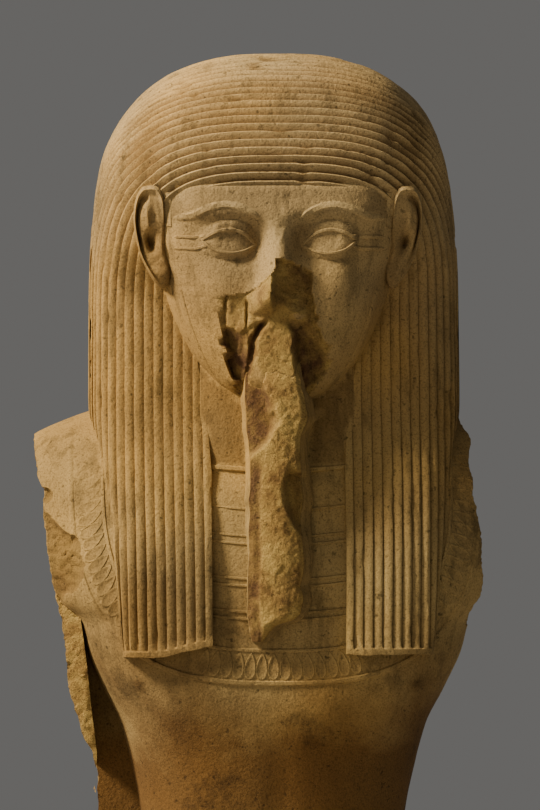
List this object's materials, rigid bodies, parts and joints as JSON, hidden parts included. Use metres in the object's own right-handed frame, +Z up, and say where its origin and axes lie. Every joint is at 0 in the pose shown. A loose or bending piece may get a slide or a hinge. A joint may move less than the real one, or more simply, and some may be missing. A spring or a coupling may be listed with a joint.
{
  "type": "egyptian statue",
  "caption": "Standing stone figure in a striated wig and broad collar, arms and beard broken, with back pillar and low base.",
  "frame": {"origin": "middle of the base's underside, on the floor", "axes": "+Z up, -Y is the way the figure faces, +X is the figure's left side"},
  "size_m": [0.34, 0.6, 1.6285],
  "materials": {
    "sandstone": "dry weathered sandstone, fine grain, rough at the breaks"
  },
  "bodies": {
    "root": {"statue": "sandstone"}
  },
  "joints": []
}
